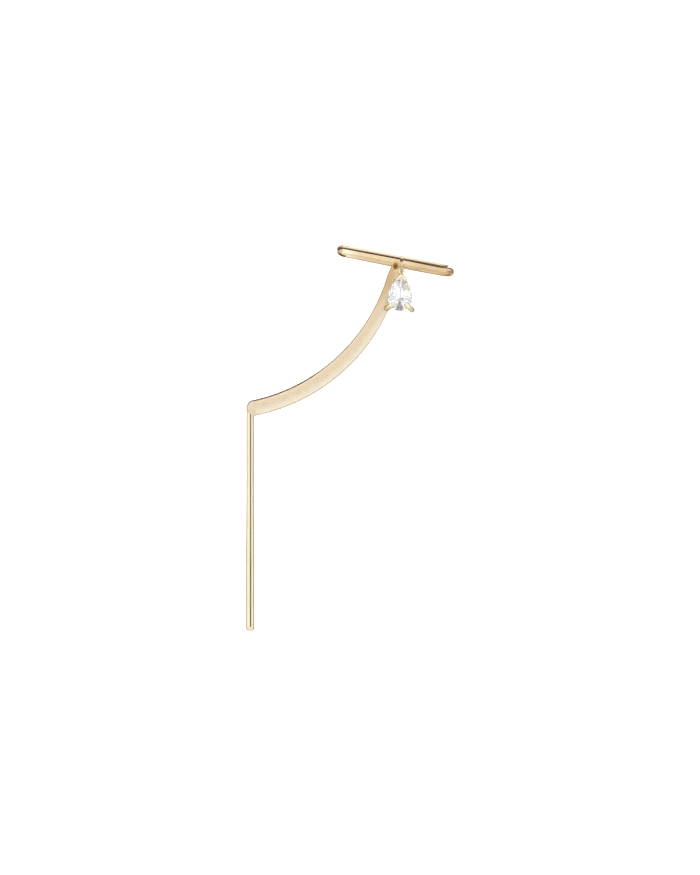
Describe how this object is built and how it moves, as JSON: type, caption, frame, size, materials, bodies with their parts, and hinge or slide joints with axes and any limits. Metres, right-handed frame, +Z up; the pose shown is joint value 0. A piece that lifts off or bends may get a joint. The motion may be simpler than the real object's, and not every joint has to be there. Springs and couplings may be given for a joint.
{
  "type": "cuff earring",
  "caption": "Cuff earring: wire clip over the ear's rim, curved ribbon down to a straight lobe stick, and a pear stone in a claw setting on a jump ring.",
  "frame": {"origin": "middle of the clip's throat, half way between the front run and the back run, where the ear's rim sits", "axes": "+X to the right seen from the front, along the clip towards its elbow apart from an 11 degree slope; -Y towards the viewer, from the back run to the front run; +Z up, the stick hangs along -Z"},
  "size_m": [0.0231, 0.0099, 0.0427],
  "materials": {
    "gold": "polished yellow gold",
    "ribbon_gold": "soft polished yellow gold",
    "stone": "faceted clear stone"
  },
  "bodies": {
    "cuff": {"cuff_frame": "gold"},
    "drop": {"jump_ring": "gold", "drop_setting": "gold", "pear_stone": "stone"}
  },
  "joints": [
    {"name": "drop_swing", "type": "hinge", "parent": "cuff", "child": "drop", "pos_m": [0.00068, -0.0034, -0.00013], "axis": [1, 0, 0], "range_deg": [-75, 0]}
  ]
}
